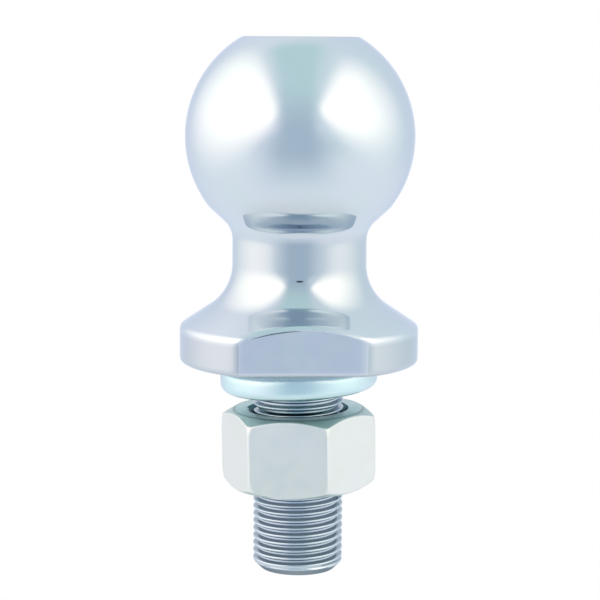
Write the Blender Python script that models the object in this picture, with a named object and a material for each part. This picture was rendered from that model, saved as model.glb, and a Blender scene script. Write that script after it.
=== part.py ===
"""A threaded tow ball: one turned steel forging with its split lock washer and hex nut.

The forging stands on the end of its shank, with the shank's axis on Z and the ball on top.
It has a ball with a flat top, a neck, a flared collar with two wrench flats and a shank.
The shank and the nut's bore are plain here, at the diameters that the thread's crests have.
Lengths are in metres, and angles are in radians.
"""

import bpy
import bmesh
from math import atan2, cos, pi, radians, sin, sqrt, tan
from mathutils import Vector

MM = 0.001
INCH = 25.4 * MM

# Fits between the pieces
SLIDING_GAP = 0.3 * MM
SEAT_GAP = 0.3 * MM
CUTTER_MARGIN = 5.0 * MM

# How round forms are divided
FORGING_STEPS = 72
WASHER_STEPS = 56
NUT_STEPS = 48
BALL_ARC_STEPS = 18
FILLET_STEPS = 6
EDGE_STEPS = 2

# Shank and its thread
THREAD_DIAMETER = 18.95 * MM
SHANK_LENGTH = 1.75 * INCH
SHANK_END_CHAMFER = 1.5 * MM

# Collar with its flats
COLLAR_DIAMETER = 50.0 * MM
COLLAR_SIDE_HEIGHT = 7.0 * MM
COLLAR_EDGE_ROUND = 0.9 * MM
COLLAR_SHOULDER_ROUND = 1.0 * MM
SEAT_RELIEF_DEPTH = 0.2 * MM
SEAT_RELIEF_MARGIN = 0.6 * MM
FLARE_SLOPE = radians(33.5)
FLARE_FILLET = 10.5 * MM
FLATS_ACROSS = 42.5 * MM
FLATS_TURN = radians(2.75)

# Neck and ball
NECK_DIAMETER = 28.0 * MM
NECK_TOP_FILLET = 5.1 * MM
BALL_DIAMETER = 1.875 * INCH
BALL_ABOVE_COLLAR = 46.8 * MM
BALL_FLAT_DIAMETER = 24.2 * MM
BALL_FLAT_ROUND = 0.8 * MM
BALL_CONE_DIAMETER = 37.75 * MM
BALL_CONE_ANGLE = radians(47.2)

# Lock washer: a left-hand coil of just under one turn, which hangs a little low on its left side
WASHER_OUTSIDE = 33.0 * MM
WASHER_THICKNESS = 5.0 * MM
WASHER_OUTER_ROUND = 1.9 * MM
WASHER_INNER_ROUND = 0.4 * MM
WASHER_RISE = 0.45 * MM
WASHER_SPLIT_WIDTH = 2.0 * MM
WASHER_SPLIT_SLANT = radians(30.0)
WASHER_SPLIT_AT = radians(90.0)
WASHER_LEAN = radians(3.1)

# Hex nut
NUT_BELOW_WASHER = 3.6 * MM
NUT_ACROSS_FLATS = 1.125 * INCH
NUT_HEIGHT = 0.640625 * INCH
NUT_CHAMFER = radians(30.0)
NUT_TOP_FACE_DIAMETER = 27.2 * MM
NUT_BOTTOM_FACE_DIAMETER = 28.4 * MM
NUT_COUNTERSINK_DIAMETER = 21.4 * MM
NUT_COUNTERSINK_SLOPE = radians(45.0)
NUT_TURN = radians(21.5)


def clear_scene():
    for thing in list(bpy.data.objects):
        bpy.data.objects.remove(thing, do_unlink=True)


def steel(name, colour, roughness):
    """A plated steel finish."""
    material = bpy.data.materials.new(name)
    material.use_nodes = True
    shader = material.node_tree.nodes["Principled BSDF"]
    shader.inputs["Base Color"].default_value = (*colour, 1.0)
    shader.inputs["Metallic"].default_value = 1.0
    shader.inputs["Roughness"].default_value = roughness
    return material


def arc(centre, radius, start, end, steps):
    """Points of an arc in a half section, where angle 0 points away from the axis."""
    radial, height = centre
    angles = [start + (end - start) * i / steps for i in range(steps + 1)]
    return [(radial + radius * cos(a), height + radius * sin(a)) for a in angles]


def add_object(name, mesh, material=None):
    thing = bpy.data.objects.new(name, mesh)
    bpy.context.scene.collection.objects.link(thing)
    if material is not None:
        mesh.materials.append(material)
    return thing


def turned(name, section, steps, material=None):
    """A half section, from the top down its outer side to the bottom, turned about Z."""
    mesh = bpy.data.meshes.new(name)
    points = [(radial, 0.0, height) for radial, height in section]
    edges = [(i, i + 1) for i in range(len(points) - 1)]
    mesh.from_pydata(points, edges, [])
    thing = add_object(name, mesh, material)
    screw = thing.modifiers.new("Turn", "SCREW")
    screw.axis = "Z"
    screw.steps = steps
    screw.render_steps = steps
    screw.use_merge_vertices = True
    screw.merge_threshold = 0.00001
    screw.use_smooth_shade = True
    return thing


def as_cutter(thing):
    thing.hide_render = True
    thing.display_type = "WIRE"
    return thing


def combine(thing, other, operation):
    step = thing.modifiers.new(operation.title(), "BOOLEAN")
    step.operation = operation
    step.object = as_cutter(other)
    step.solver = "EXACT"


# Heights and radii that follow from the driving dimensions
SHANK_RADIUS = THREAD_DIAMETER / 2
COLLAR_RADIUS = COLLAR_DIAMETER / 2
NECK_RADIUS = NECK_DIAMETER / 2
BALL_RADIUS = BALL_DIAMETER / 2
COLLAR_SEAT_HEIGHT = SHANK_LENGTH
COLLAR_TOP_HEIGHT = COLLAR_SEAT_HEIGHT + COLLAR_SIDE_HEIGHT
BALL_CENTRE_HEIGHT = COLLAR_SEAT_HEIGHT + BALL_ABOVE_COLLAR
BALL_TOP_HEIGHT = BALL_CENTRE_HEIGHT + sqrt(BALL_RADIUS**2 - (BALL_FLAT_DIAMETER / 2) ** 2)


def ball_section():
    """The flat top, its rounded edge, the ball and the cone cut under it."""
    edge_height = BALL_TOP_HEIGHT - BALL_FLAT_ROUND
    rise = edge_height - BALL_CENTRE_HEIGHT
    edge_radial = sqrt((BALL_RADIUS - BALL_FLAT_ROUND) ** 2 - rise**2)
    ball_start = atan2(rise, edge_radial)
    cone_radial = BALL_CONE_DIAMETER / 2
    ball_end = -atan2(sqrt(BALL_RADIUS**2 - cone_radial**2), cone_radial)
    edge = arc((edge_radial, edge_height), BALL_FLAT_ROUND, pi / 2, ball_start, EDGE_STEPS)
    ball = arc((0.0, BALL_CENTRE_HEIGHT), BALL_RADIUS, ball_start, ball_end, BALL_ARC_STEPS)
    return [(0.0, BALL_TOP_HEIGHT)] + edge + ball[1:]


def neck_top_section(cone_start):
    """The fillet that takes the cone under the ball into the neck."""
    radial, height = cone_start
    centre_radial = NECK_RADIUS + NECK_TOP_FILLET
    drop = (NECK_TOP_FILLET - (centre_radial - radial) * cos(BALL_CONE_ANGLE)) / sin(BALL_CONE_ANGLE)
    centre = (centre_radial, height - drop)
    return arc(centre, NECK_TOP_FILLET, pi - BALL_CONE_ANGLE, pi, FILLET_STEPS)


def flare_section():
    """The fillet at the foot of the neck, the sloping flare and the collar's rounded shoulder."""
    shoulder_centre = (COLLAR_RADIUS - COLLAR_SHOULDER_ROUND, COLLAR_TOP_HEIGHT)
    slope_normal = pi / 2 - FLARE_SLOPE
    shoulder = arc(shoulder_centre, COLLAR_SHOULDER_ROUND, slope_normal, 0.0, EDGE_STEPS + 1)
    slope_foot = shoulder[0]
    fillet_radial = NECK_RADIUS + FLARE_FILLET
    slope_head_radial = fillet_radial - FLARE_FILLET * sin(FLARE_SLOPE)
    slope_head_height = slope_foot[1] + (slope_foot[0] - slope_head_radial) * tan(FLARE_SLOPE)
    fillet_height = slope_head_height + FLARE_FILLET * cos(FLARE_SLOPE)
    fillet_centre = (fillet_radial, fillet_height)
    fillet = arc(fillet_centre, FLARE_FILLET, pi, 1.5 * pi - FLARE_SLOPE, FILLET_STEPS + 2)
    return fillet + shoulder


def collar_and_shank_section():
    """The collar's lower edge, its seat, the relief round the shank, the shank and its end chamfer."""
    edge_centre = (COLLAR_RADIUS - COLLAR_EDGE_ROUND, COLLAR_SEAT_HEIGHT + COLLAR_EDGE_ROUND)
    lower_edge = arc(edge_centre, COLLAR_EDGE_ROUND, 0.0, -pi / 2, EDGE_STEPS)
    # The relief lets the seat bear at its rim, and it reaches a little further out than the washer
    relief_radius = WASHER_OUTSIDE / 2 + SEAT_RELIEF_MARGIN
    relief_height = COLLAR_SEAT_HEIGHT + SEAT_RELIEF_DEPTH
    shank = [
        (relief_radius, COLLAR_SEAT_HEIGHT),
        (relief_radius, relief_height),
        (SHANK_RADIUS, relief_height),
        (SHANK_RADIUS, SHANK_END_CHAMFER),
        (SHANK_RADIUS - SHANK_END_CHAMFER, 0.0),
        (0.0, 0.0),
    ]
    return lower_edge + shank


def flats_cutter():
    """Two blocks, one on each side of the collar, that leave its wrench flats."""
    depth = COLLAR_RADIUS - FLATS_ACROSS / 2 + CUTTER_MARGIN
    width = COLLAR_DIAMETER + 2 * CUTTER_MARGIN
    bottom = COLLAR_SEAT_HEIGHT - CUTTER_MARGIN
    height = BALL_ABOVE_COLLAR - BALL_RADIUS + CUTTER_MARGIN
    mesh = bpy.data.meshes.new("collar_flats_cutter")
    shape = bmesh.new()
    for side in (-1, 1):
        block = bmesh.ops.create_cube(shape, size=1.0)["verts"]
        bmesh.ops.scale(shape, verts=block, vec=Vector((width, depth, height)))
        place = Vector((0.0, side * (FLATS_ACROSS + depth) / 2, bottom + height / 2))
        bmesh.ops.translate(shape, verts=block, vec=place)
    shape.to_mesh(mesh)
    shape.free()
    cutter = add_object("collar_flats_cutter", mesh)
    cutter.rotation_euler.z = FLATS_TURN
    return cutter


def make_tow_ball():
    section = ball_section()
    section += neck_top_section(section[-1])
    section += flare_section()
    section += collar_and_shank_section()
    finish = steel("bright_plated_steel", (0.62, 0.68, 0.78), 0.18)
    forging = turned("tow_ball", section, FORGING_STEPS, finish)
    combine(forging, flats_cutter(), "DIFFERENCE")
    return forging


def washer_bore_radius():
    """The bore clears the shank also where the washer leans."""
    return SHANK_RADIUS + SLIDING_GAP + WASHER_THICKNESS / 2 * sin(WASHER_LEAN)


def washer_reach(side):
    """How far the leaning washer reaches above its middle, for side 1, or below it, for side -1."""
    rim = WASHER_OUTSIDE / 2 - WASHER_OUTER_ROUND
    reach = 0.0
    for step in range(WASHER_STEPS):
        around = step / WASHER_STEPS
        turn = WASHER_SPLIT_AT + 2 * pi * around
        height = rim * cos(turn) * sin(WASHER_LEAN) + WASHER_RISE * (0.5 - around)
        reach = max(reach, side * height)
    return reach + WASHER_THICKNESS / 2


WASHER_HEIGHT = COLLAR_SEAT_HEIGHT - SEAT_GAP - washer_reach(1)


def washer_section():
    """The wire's closed section, with its outer corners well rounded."""
    outer = WASHER_OUTSIDE / 2 - WASHER_OUTER_ROUND
    inner = washer_bore_radius() + WASHER_INNER_ROUND
    outer_height = WASHER_THICKNESS / 2 - WASHER_OUTER_ROUND
    inner_height = WASHER_THICKNESS / 2 - WASHER_INNER_ROUND
    return (
        arc((outer, -outer_height), WASHER_OUTER_ROUND, -pi / 2, 0.0, EDGE_STEPS + 1)
        + arc((outer, outer_height), WASHER_OUTER_ROUND, 0.0, pi / 2, EDGE_STEPS + 1)
        + arc((inner, inner_height), WASHER_INNER_ROUND, pi / 2, pi, EDGE_STEPS)
        + arc((inner, -inner_height), WASHER_INNER_ROUND, pi, 1.5 * pi, EDGE_STEPS)
    )


def make_lock_washer():
    """The section is swept round, sinking as it goes, with slanted ends at the split."""
    middle = (WASHER_OUTSIDE / 2 + washer_bore_radius()) / 2
    split_angle = WASHER_SPLIT_WIDTH / middle
    start = WASHER_SPLIT_AT + split_angle / 2
    sweep = 2 * pi - split_angle
    shape = bmesh.new()
    points = []
    for radial, height in washer_section():
        turn = start + height * tan(WASHER_SPLIT_SLANT) / middle
        place = (radial * cos(turn), radial * sin(turn), height + WASHER_RISE / 2)
        points.append(shape.verts.new(place))
    face = shape.faces.new(points)
    bmesh.ops.spin(
        shape,
        geom=[face, *face.edges, *face.verts],
        cent=(0.0, 0.0, 0.0),
        axis=(0.0, 0.0, 1.0),
        dvec=(0.0, 0.0, -WASHER_RISE / WASHER_STEPS),
        angle=sweep,
        steps=WASHER_STEPS,
        use_duplicate=False,
    )
    bmesh.ops.recalc_face_normals(shape, faces=shape.faces)
    mesh = bpy.data.meshes.new("lock_washer")
    shape.to_mesh(mesh)
    shape.free()
    mesh.shade_smooth()
    mesh.set_sharp_from_angle(angle=radians(40.0))
    washer = add_object("lock_washer", mesh, steel("washer_zinc", (0.66, 0.78, 0.82), 0.25))
    washer.location.z = WASHER_HEIGHT
    washer.rotation_euler.y = -WASHER_LEAN
    return washer


NUT_TOP_HEIGHT = WASHER_HEIGHT - washer_reach(-1) - NUT_BELOW_WASHER
NUT_BORE_RADIUS = SHANK_RADIUS + SLIDING_GAP
NUT_CORNER_RADIUS = NUT_ACROSS_FLATS / sqrt(3)


def nut_envelope():
    """The turned form that chamfers the hexagon's corners at both ends."""
    top_face = NUT_TOP_FACE_DIAMETER / 2
    bottom_face = NUT_BOTTOM_FACE_DIAMETER / 2
    rim = NUT_CORNER_RADIUS + CUTTER_MARGIN
    half = NUT_HEIGHT / 2
    section = [
        (0.0, half),
        (top_face, half),
        (rim, half - (rim - top_face) * tan(NUT_CHAMFER)),
        (rim, (rim - bottom_face) * tan(NUT_CHAMFER) - half),
        (bottom_face, -half),
        (0.0, -half),
    ]
    return turned("nut_chamfer_form", section, NUT_STEPS)


def nut_bore():
    """The bore with its countersinks."""
    half = NUT_HEIGHT / 2
    rim = NUT_COUNTERSINK_DIAMETER / 2
    sink = (rim - NUT_BORE_RADIUS) * tan(NUT_COUNTERSINK_SLOPE)
    wide = rim + CUTTER_MARGIN / tan(NUT_COUNTERSINK_SLOPE)
    tall = half + CUTTER_MARGIN
    bore = NUT_BORE_RADIUS
    section = [(0.0, tall), (wide, tall), (bore, half - sink), (bore, sink - half), (wide, -tall), (0.0, -tall)]
    return turned("nut_bore_form", section, NUT_STEPS)


def make_hex_nut():
    mesh = bpy.data.meshes.new("hex_nut")
    shape = bmesh.new()
    bmesh.ops.create_cone(
        shape,
        cap_ends=True,
        segments=6,
        radius1=NUT_CORNER_RADIUS,
        radius2=NUT_CORNER_RADIUS,
        depth=NUT_HEIGHT,
    )
    shape.to_mesh(mesh)
    shape.free()
    nut = add_object("hex_nut", mesh, steel("nut_zinc", (0.70, 0.76, 0.76), 0.35))
    envelope = nut_envelope()
    bore = nut_bore()
    for piece in (nut, envelope, bore):
        piece.location.z = NUT_TOP_HEIGHT - NUT_HEIGHT / 2
        piece.rotation_euler.z = NUT_TURN
    # Half a step further, so that none of its edges runs through a corner of the hexagon
    envelope.rotation_euler.z += pi / NUT_STEPS
    combine(nut, envelope, "INTERSECT")
    combine(nut, bore, "DIFFERENCE")
    return nut


clear_scene()
make_tow_ball()
make_lock_washer()
make_hex_nut()
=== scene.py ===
# %% [markdown]
# Threaded tow ball
# This lesson dresses a bright plated tow ball with its lock washer and hex nut, upright on pure white.
# The CAD model has settled every size and place, and it is loaded here as a frame. Its three pieces
# are modelled again with what the CAD model leaves out: the real thread, soft edges and thin plating.

# %% Load the frame
from math import atan2, cos, pi, radians, sin, sqrt, tan

import bmesh
import bpy
import numpy as np
from mathutils import Euler, Matrix, Vector


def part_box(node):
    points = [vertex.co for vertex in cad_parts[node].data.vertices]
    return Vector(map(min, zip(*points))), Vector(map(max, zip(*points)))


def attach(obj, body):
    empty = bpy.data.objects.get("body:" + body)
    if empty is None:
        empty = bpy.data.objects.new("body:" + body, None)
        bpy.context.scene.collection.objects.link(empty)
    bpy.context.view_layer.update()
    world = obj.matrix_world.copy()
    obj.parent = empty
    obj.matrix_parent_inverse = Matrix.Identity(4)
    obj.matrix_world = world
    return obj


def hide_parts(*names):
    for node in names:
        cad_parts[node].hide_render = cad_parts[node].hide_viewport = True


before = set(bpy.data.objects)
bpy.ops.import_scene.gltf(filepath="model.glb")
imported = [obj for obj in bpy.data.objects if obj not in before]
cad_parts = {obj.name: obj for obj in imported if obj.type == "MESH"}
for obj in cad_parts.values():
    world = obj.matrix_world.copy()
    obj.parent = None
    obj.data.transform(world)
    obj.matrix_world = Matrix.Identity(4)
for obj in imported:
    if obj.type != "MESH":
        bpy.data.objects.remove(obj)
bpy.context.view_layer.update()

MM = 0.001
INCH = 25.4 * MM


def in_mm(lengths):
    return [round(length / MM, 2) for length in lengths]


# %% [markdown]
# The camera stands in front of the part, level with the ball's top, and looks down by eight degrees.
# That is why the ball's flat top hardly shows and the collar hides its seat. A camera can be placed by
# eye, but here its place and lens were fitted to the outline in the photograph, because a wrong
# distance would change the ball's size against the shank's. A long lens keeps them nearly true.

# %% Camera
CAMERA_PLACE = Vector((0.18, -379.57, 110.66)) * MM
CAMERA_PITCH = radians(8.0278)
CAMERA_ROLL = radians(0.3819)
CAMERA_LENS = 109.8
CAMERA_SENSOR = 36.0
CAMERA_CLIP = (0.01, 20.0)

scene = bpy.context.scene
camera_data = bpy.data.cameras.new("camera")
camera_data.lens = CAMERA_LENS
camera_data.sensor_width = CAMERA_SENSOR
camera_data.clip_start, camera_data.clip_end = CAMERA_CLIP
camera_data.dof.use_dof = False
camera = bpy.data.objects.new("camera", camera_data)
turn = Euler((pi / 2 - CAMERA_PITCH, 0.0, 0.0)).to_matrix() @ Matrix.Rotation(CAMERA_ROLL, 3, "Z")
camera.matrix_world = Matrix.Translation(CAMERA_PLACE) @ turn.to_4x4()
scene.collection.objects.link(camera)
scene.camera = camera
scene.view_settings.view_transform = "Standard"
print("Camera place, mm:", in_mm(CAMERA_PLACE))

# %% [markdown]
# Turned, milled and plated edges are never knife sharp. Blender's Bevel modifier could round them, but
# it struggles where a flat runs out on a curved flare and its edge fades away. Here two shapes are
# joined by a smooth minimum of their distances, which rounds the edge wherever they cross.

# %% Soft joins between shapes
def smooth_min(first, second, width):
    """The smaller of two distances, rounded over a width where they cross."""
    share = np.clip(0.5 + 0.5 * (second - first) / width, 0.0, 1.0)
    return second + (first - second) * share - width * share * (1.0 - share)


def smooth_step(value, low, high):
    """0 under low and 1 over high, with an even rise between."""
    share = np.clip((value - low) / (high - low), 0.0, 1.0)
    return share * share * (3.0 - 2.0 * share)


print("Smooth minimum of 1 and 1 over a width of 0.4:", round(float(smooth_min(1.0, 1.0, 0.4)), 3))

# %% [markdown]
# A lathe follows an outline made of arcs and straight lines, so the outlines here are built from the
# same two. They could be drawn as Bezier curves, but an arc with a named radius is what the drawing of
# such a part would give, and it can be changed by one number.

# %% Arcs and lines of a half section
def arc(centre, radius, start, end, steps):
    """Points of an arc in a half section, where angle 0 points away from the axis."""
    angles = np.linspace(start, end, steps + 1)
    return [(centre[0] + radius * cos(a), centre[1] + radius * sin(a)) for a in angles]


def line(start, end, spacing):
    """Points from start to end, both included, about one spacing apart."""
    length = sqrt((end[0] - start[0]) ** 2 + (end[1] - start[1]) ** 2)
    count = max(1, round(length / spacing))
    return [
        (start[0] + (end[0] - start[0]) * i / count, start[1] + (end[1] - start[1]) * i / count)
        for i in range(count + 1)
    ]


print("A line of 10 mm in steps of 2.5 mm has", len(line((0, 0), (0, 10), 2.5)), "points")

# %% [markdown]
# Nearly every surface here is turned on a lathe or cut as a thread. Blender could spin an outline with
# the Screw modifier and cut the flats with a Boolean, but a Boolean leaves long thin faces that shade
# badly on bright metal. So each piece is a grid: columns run round the axis and rows run down the
# outline. A row can have another radius in each column, which is how flats and hexagons are cut, and
# grids that meet are welded into one closed mesh.

# %% Grids into closed meshes
WELD_DISTANCE = 0.0005 * MM


def polar(radius, height, angles):
    """Points from radii and heights, given for each row and column."""
    radius, height, angles = np.broadcast_arrays(radius, height, angles)
    return np.stack([radius * np.cos(angles), radius * np.sin(angles), height], axis=-1)


def grid_faces(rows, columns, first, closed=True):
    """Faces between the rows of a grid, whose points are numbered row by row from first."""
    row, column = np.meshgrid(np.arange(rows - 1), np.arange(columns - (not closed)), indexing="ij")
    after = (column + 1) % columns
    corners = [row * columns + column, (row + 1) * columns + column]
    corners += [(row + 1) * columns + after, row * columns + after]
    return (np.stack(corners, axis=-1).reshape(-1, 4) + first).tolist()


def weld(mesh):
    """Joins the points where grids meet, turns the faces outwards and counts the edges left open."""
    shape = bmesh.new()
    shape.from_mesh(mesh)
    bmesh.ops.remove_doubles(shape, verts=shape.verts, dist=WELD_DISTANCE)
    bmesh.ops.dissolve_degenerate(shape, edges=shape.edges, dist=WELD_DISTANCE)
    bmesh.ops.recalc_face_normals(shape, faces=shape.faces)
    open_edges = sum(not edge.is_manifold for edge in shape.edges)
    shape.to_mesh(mesh)
    shape.free()
    return open_edges


def solid(name, parts, sharp_angle):
    """One closed mesh from grids of points that meet: parts are (points, closed) pairs."""
    points, faces = [], []
    for grid, closed in parts:
        rows, columns = grid.shape[:2]
        faces += grid_faces(rows, columns, len(points), closed)
        points += grid.reshape(-1, 3).tolist()
    mesh = bpy.data.meshes.new(name)
    mesh.from_pydata(points, [], faces)
    open_edges = weld(mesh)
    mesh.shade_smooth()
    mesh.set_sharp_from_angle(angle=sharp_angle)
    thing = bpy.data.objects.new(name, mesh)
    scene.collection.objects.link(thing)
    print(name, "has", len(mesh.polygons), "faces and", open_edges, "open edges")
    return thing


print("Points nearer than", WELD_DISTANCE / MM, "mm are welded")

# %% [markdown]
# The shank carries a 3/4 inch thread with 16 turns to the inch, right-hand, with narrow crests and
# rounded roots. A bump map could suggest it, but the edge of the shank would stay straight, and in the
# photograph the crests stand out there. So the thread is real, and its section is given as points down
# one flank and mirrored for the other.

# %% Section of the thread
THREAD_PITCH = INCH / 16
THREAD_CREST = 18.95 / 2 * MM
THREAD_DEPTH = 0.93 * MM
# Share of a pitch by which the crests are moved up, so that they stand as in the photograph
THREAD_PHASE = 0.7
# Share of the pitch from the middle of a crest, and share of the depth, down one flank
FLANK = ((0.05, 0.0), (0.10, 0.04), (0.14, 0.13), (0.36, 0.90), (0.41, 1.0))


def thread_profile():
    """Places along one pitch and depths there, from the middle of a crest to the next."""
    places = [place for place, _ in FLANK] + [1.0 - place for place, _ in reversed(FLANK)]
    depths = [depth for _, depth in FLANK] + [depth for _, depth in reversed(FLANK)]
    return np.array(places), np.array(depths) * THREAD_DEPTH


print("Thread pitch and depth, mm:", in_mm((THREAD_PITCH, THREAD_DEPTH)))

# %% [markdown]
# A thread can be swept by the Screw modifier, but then its ends need cutting and it can't fade out as a
# real one does. Here a ribbon climbs one pitch a turn, so that its rows follow the crests exactly and
# they stay clean from every side. The rows run past both ends and are clamped there.

# %% Ribbon that climbs with the thread
def thread_depth(height, angles):
    """Depth of the groove at a height and an angle round the shank."""
    places, depths = thread_profile()
    along = (height / THREAD_PITCH - angles / (2 * pi) - THREAD_PHASE) % 1.0
    return np.interp(along, places, depths, period=1.0)


def thread_rows(low, high, angles):
    """Heights of a ribbon's rows that cover low to high, clamped to them."""
    places, _ = thread_profile()
    first = int(np.floor(low / THREAD_PITCH)) - 2
    last = int(np.ceil(high / THREAD_PITCH)) + 1
    turns = np.concatenate([places + turn for turn in range(last, first - 1, -1)])
    turns = np.sort(turns)[::-1]
    heights = (turns[:, None] + THREAD_PHASE + angles[None, :] / (2 * pi)) * THREAD_PITCH
    return np.clip(heights, low, high)


print("Rows for one inch of thread:", len(thread_rows(0.0, INCH, np.zeros(1))))

# %% [markdown]
# The forging is turned in one chucking, so ball, neck, collar and shank share one axis and one piece.
# It starts with the ball: a flat top with a small round at its rim, the ball itself, a cone that meets
# the ball without a step, and a fillet into the neck. A sphere joined to a cylinder would leave a
# crease, and one outline through all of them leaves none.

# %% Outline of the ball and the top of the neck
BALL_RADIUS = 1.875 * INCH / 2
BALL_TOP_RADIUS = 12.1 * MM
BALL_TOP_ROUND = 0.8 * MM
BALL_CENTRE = 91.25 * MM
CONE_RADIUS = 18.875 * MM
CONE_ANGLE = radians(47.2)
NECK_RADIUS = 14.0 * MM
NECK_FILLET = 5.1 * MM
BALL_TOP_SPACING = 1.4 * MM
BALL_TOP_ROUND_STEPS = 5
BALL_STEPS = 64
CONE_SPACING = 0.35 * MM
NECK_FILLET_STEPS = 14


def ball_and_cone():
    """The half section from the middle of the flat top down to the top of the neck."""
    top = BALL_CENTRE + sqrt(BALL_RADIUS**2 - BALL_TOP_RADIUS**2)
    edge_height = top - BALL_TOP_ROUND
    rise = edge_height - BALL_CENTRE
    edge_radius = sqrt((BALL_RADIUS - BALL_TOP_ROUND) ** 2 - rise**2)
    ball_start = atan2(rise, edge_radius)
    ball_end = -atan2(sqrt(BALL_RADIUS**2 - CONE_RADIUS**2), CONE_RADIUS)
    edge = (edge_radius, edge_height)
    outline = line((0.0, top), (edge_radius, top), BALL_TOP_SPACING)
    outline += arc(edge, BALL_TOP_ROUND, pi / 2, ball_start, BALL_TOP_ROUND_STEPS)[1:]
    outline += arc((0.0, BALL_CENTRE), BALL_RADIUS, ball_start, ball_end, BALL_STEPS)[1:]
    cone = outline[-1]
    middle_radius = NECK_RADIUS + NECK_FILLET
    drop = (NECK_FILLET - (middle_radius - cone[0]) * cos(CONE_ANGLE)) / sin(CONE_ANGLE)
    middle = (middle_radius, cone[1] - drop)
    fillet = arc(middle, NECK_FILLET, pi - CONE_ANGLE, pi, NECK_FILLET_STEPS)
    return outline + line(cone, fillet[0], CONE_SPACING)[1:] + fillet[1:]


print("Ball and cone, points of the outline:", len(ball_and_cone()))

# %% [markdown]
# Under the neck the forging flares out to the collar, which spreads the load on the drawbar. The flare
# leaves the neck in a large fillet, runs out straight and turns over a worn shoulder to the collar's
# side. Its straight part has close rows, although it is straight, because the flats will cut it in a
# fine arch.

# %% Outline of the flare and the shoulder
COLLAR_RADIUS = 25.0 * MM
COLLAR_SEAT = 1.75 * INCH
COLLAR_TOP = COLLAR_SEAT + 6.68 * MM
SHOULDER_ROUND = 1.6 * MM
SHOULDER_STEPS = 8
FLARE_FILLET = 10.5 * MM
FLARE_FILLET_STEPS = 16
FLARE_SLOPE = radians(33.5)
FLARE_SPACING = 0.28 * MM


def flare_and_shoulder():
    """The half section from the foot of the neck down to the top of the collar's side."""
    shoulder_middle = (COLLAR_RADIUS - SHOULDER_ROUND, COLLAR_TOP)
    shoulder = arc(shoulder_middle, SHOULDER_ROUND, pi / 2 - FLARE_SLOPE, 0.0, SHOULDER_STEPS)
    middle_radius = NECK_RADIUS + FLARE_FILLET
    head_radius = middle_radius - FLARE_FILLET * sin(FLARE_SLOPE)
    head_height = shoulder[0][1] + (shoulder[0][0] - head_radius) * tan(FLARE_SLOPE)
    middle = (middle_radius, head_height + FLARE_FILLET * cos(FLARE_SLOPE))
    flare = arc(middle, FLARE_FILLET, pi, 1.5 * pi - FLARE_SLOPE, FLARE_FILLET_STEPS)
    return flare + line(flare[-1], shoulder[0], FLARE_SPACING)[1:] + shoulder[1:]


print("Flare and shoulder, points of the outline:", len(flare_and_shoulder()))

# %% [markdown]
# The forging is polished before it is plated, and that evens out the joins between ball, cone and neck.
# In a mirror finish such a join would show as a kink in every reflection. Moving each point of the
# outline a little towards its neighbours does what the polishing wheel does, and only where it went.

# %% Polished outline of the forging
NECK_SPACING = 1.0 * MM
POLISHED = (70.0 * MM, 82.0 * MM)
POLISH_FADE = 1.0 * MM
POLISH_PASSES = 3


def polish(outline, low, high, passes):
    """Evens out the outline between two heights."""
    points = np.array(outline)
    height = points[1:-1, 1]
    share = smooth_step(height, low, low + POLISH_FADE) * smooth_step(height, high, high - POLISH_FADE)
    for _ in range(passes):
        evened = 0.25 * points[:-2] + 0.5 * points[1:-1] + 0.25 * points[2:]
        points[1:-1] += share[:, None] * (evened - points[1:-1])
    return points


above_neck, below_neck = ball_and_cone(), flare_and_shoulder()
neck = line(above_neck[-1], below_neck[0], NECK_SPACING)[1:-1]
forging_outline = polish(above_neck + neck + below_neck, *POLISHED, POLISH_PASSES)
print("Forging, points of the outline above the collar's side:", len(forging_outline))

# %% [markdown]
# Two wrench flats are milled on the collar, and each leaves an arch where it runs out on the flare. A
# Boolean with a box would cut them, but its edge would be dead sharp. In a grid each flat is a limit on
# the radius, and the smooth minimum leaves the thin worn edge that catches the light.

# %% Wrench flats on the flare
FLAT_DISTANCE = 21.25 * MM
FLAT_TURN = radians(2.75)
FLAT_REACH = 2.0 * MM
FLARE_CUT = 6.0 * MM
FLAT_BLEND_ON_FLARE = 1.1 * MM
FLAT_BLEND_ON_SIDE = 1.0 * MM
FLAT_BLEND_FADE = 1.0 * MM
# Keeps the limit finite in columns that run along a flat
LEAST_SLANT = 0.2


def flat_limit(angles):
    """Radius of the two wrench flats, seen from the axis, as a limit in each column."""
    slant = np.abs(np.sin(angles - FLAT_TURN))
    return FLAT_DISTANCE / np.maximum(slant, LEAST_SLANT)


def rows_above_side(angles):
    """Radius and height of the rows from the ball's top to the collar's side, with the flats cut."""
    radius, height = forging_outline[:, :1], forging_outline[:, 1:]
    # On the flare the milled edge is worn softer than on the collar's side
    on_flare = smooth_step(height, COLLAR_TOP - FLAT_BLEND_FADE, COLLAR_TOP + FLAT_BLEND_FADE)
    blend = FLAT_BLEND_ON_SIDE + (FLAT_BLEND_ON_FLARE - FLAT_BLEND_ON_SIDE) * on_flare
    near_flats = (height < COLLAR_TOP + FLARE_CUT) & (radius > FLAT_DISTANCE - FLAT_REACH)
    radius = np.where(near_flats, smooth_min(radius, flat_limit(angles), blend), radius)
    return radius, np.broadcast_to(height, radius.shape)


print("Across the flats, mm:", round(2 * FLAT_DISTANCE / MM, 2))

# %% [markdown]
# The collar's side is upright, its lower edge is rounded, and its flat underside is the seat that
# bears on the drawbar. The rows go on from the shoulder down the side, round the edge and in to the
# shank. Most of the seat is hidden by the washer, so a few rows are enough for it.

# %% Collar's side, lower edge and seat
COLLAR_EDGE_ROUND = 0.9 * MM
COLLAR_EDGE_STEPS = 4
SIDE_SPACING = 0.6 * MM
SEAT_STEPS = 8


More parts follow.
